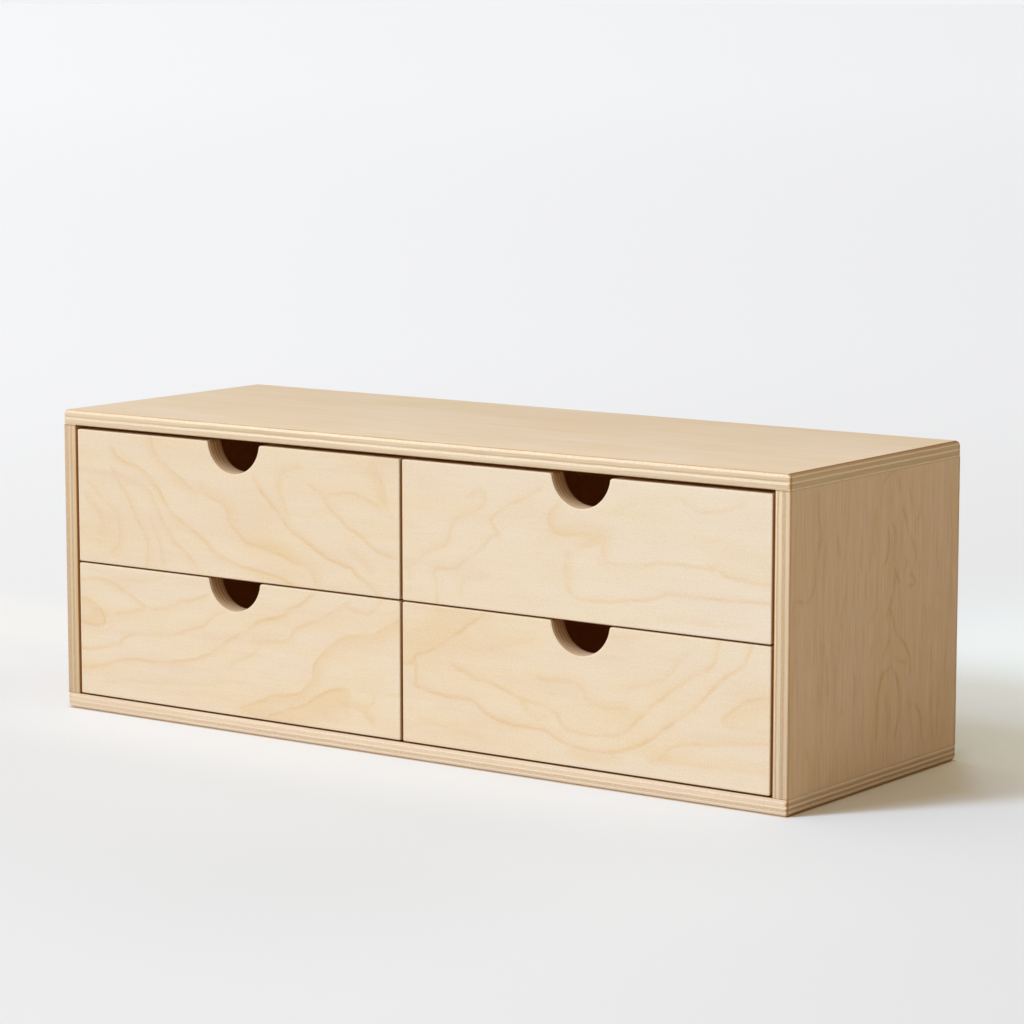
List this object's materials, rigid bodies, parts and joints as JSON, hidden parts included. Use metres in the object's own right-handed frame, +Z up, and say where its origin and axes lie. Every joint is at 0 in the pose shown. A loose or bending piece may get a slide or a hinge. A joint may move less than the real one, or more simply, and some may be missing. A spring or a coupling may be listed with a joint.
{
  "type": "desktop mini drawers",
  "caption": "Low plywood desktop case with two rows of small sliding drawers, each pulled by a half-round finger notch.",
  "frame": {"origin": "middle of the footprint, on the surface that the case stands on", "axes": "+X to the right along the width, -Y out of the drawer fronts, +Z up"},
  "size_m": [0.5, 0.176, 0.178],
  "materials": {
    "case_birch": "clear matt lacquer on birch plywood, bare ply edges",
    "front_birch": "clear matt lacquer on rotary-cut birch plywood, bare ply edges",
    "drawer_birch": "sanded birch plywood",
    "thin_birch": "sanded three-ply birch",
    "dowel_beech": "bare beech"
  },
  "bodies": {
    "case": {"top_board": "case_birch", "bottom_board": "case_birch", "left_side_panel": "case_birch", "right_side_panel": "case_birch", "partition": "case_birch", "left_shelf": "thin_birch", "right_shelf": "thin_birch", "back_panel": "thin_birch", "left_panel_dowels": "dowel_beech", "right_panel_dowels": "dowel_beech", "partition_dowels": "dowel_beech"},
    "bottom_left_drawer": {"bottom_left_drawer_front": "front_birch", "bottom_left_drawer_outer_side": "drawer_birch", "bottom_left_drawer_inner_side": "drawer_birch", "bottom_left_drawer_back": "drawer_birch", "bottom_left_drawer_base": "thin_birch"},
    "bottom_right_drawer": {"bottom_right_drawer_front": "front_birch", "bottom_right_drawer_outer_side": "drawer_birch", "bottom_right_drawer_inner_side": "drawer_birch", "bottom_right_drawer_back": "drawer_birch", "bottom_right_drawer_base": "thin_birch"},
    "top_left_drawer": {"top_left_drawer_front": "front_birch", "top_left_drawer_outer_side": "drawer_birch", "top_left_drawer_inner_side": "drawer_birch", "top_left_drawer_back": "drawer_birch", "top_left_drawer_base": "thin_birch"},
    "top_right_drawer": {"top_right_drawer_front": "front_birch", "top_right_drawer_outer_side": "drawer_birch", "top_right_drawer_inner_side": "drawer_birch", "top_right_drawer_back": "drawer_birch", "top_right_drawer_base": "thin_birch"}
  },
  "joints": [
    {"name": "bottom_left_drawer_slide", "type": "slide", "parent": "case", "child": "bottom_left_drawer", "axis": [0, -1, 0], "range_m": [0, 0.13]},
    {"name": "bottom_right_drawer_slide", "type": "slide", "parent": "case", "child": "bottom_right_drawer", "axis": [0, -1, 0], "range_m": [0, 0.13]},
    {"name": "top_left_drawer_slide", "type": "slide", "parent": "case", "child": "top_left_drawer", "axis": [0, -1, 0], "range_m": [0, 0.13]},
    {"name": "top_right_drawer_slide", "type": "slide", "parent": "case", "child": "top_right_drawer", "axis": [0, -1, 0], "range_m": [0, 0.13]}
  ]
}
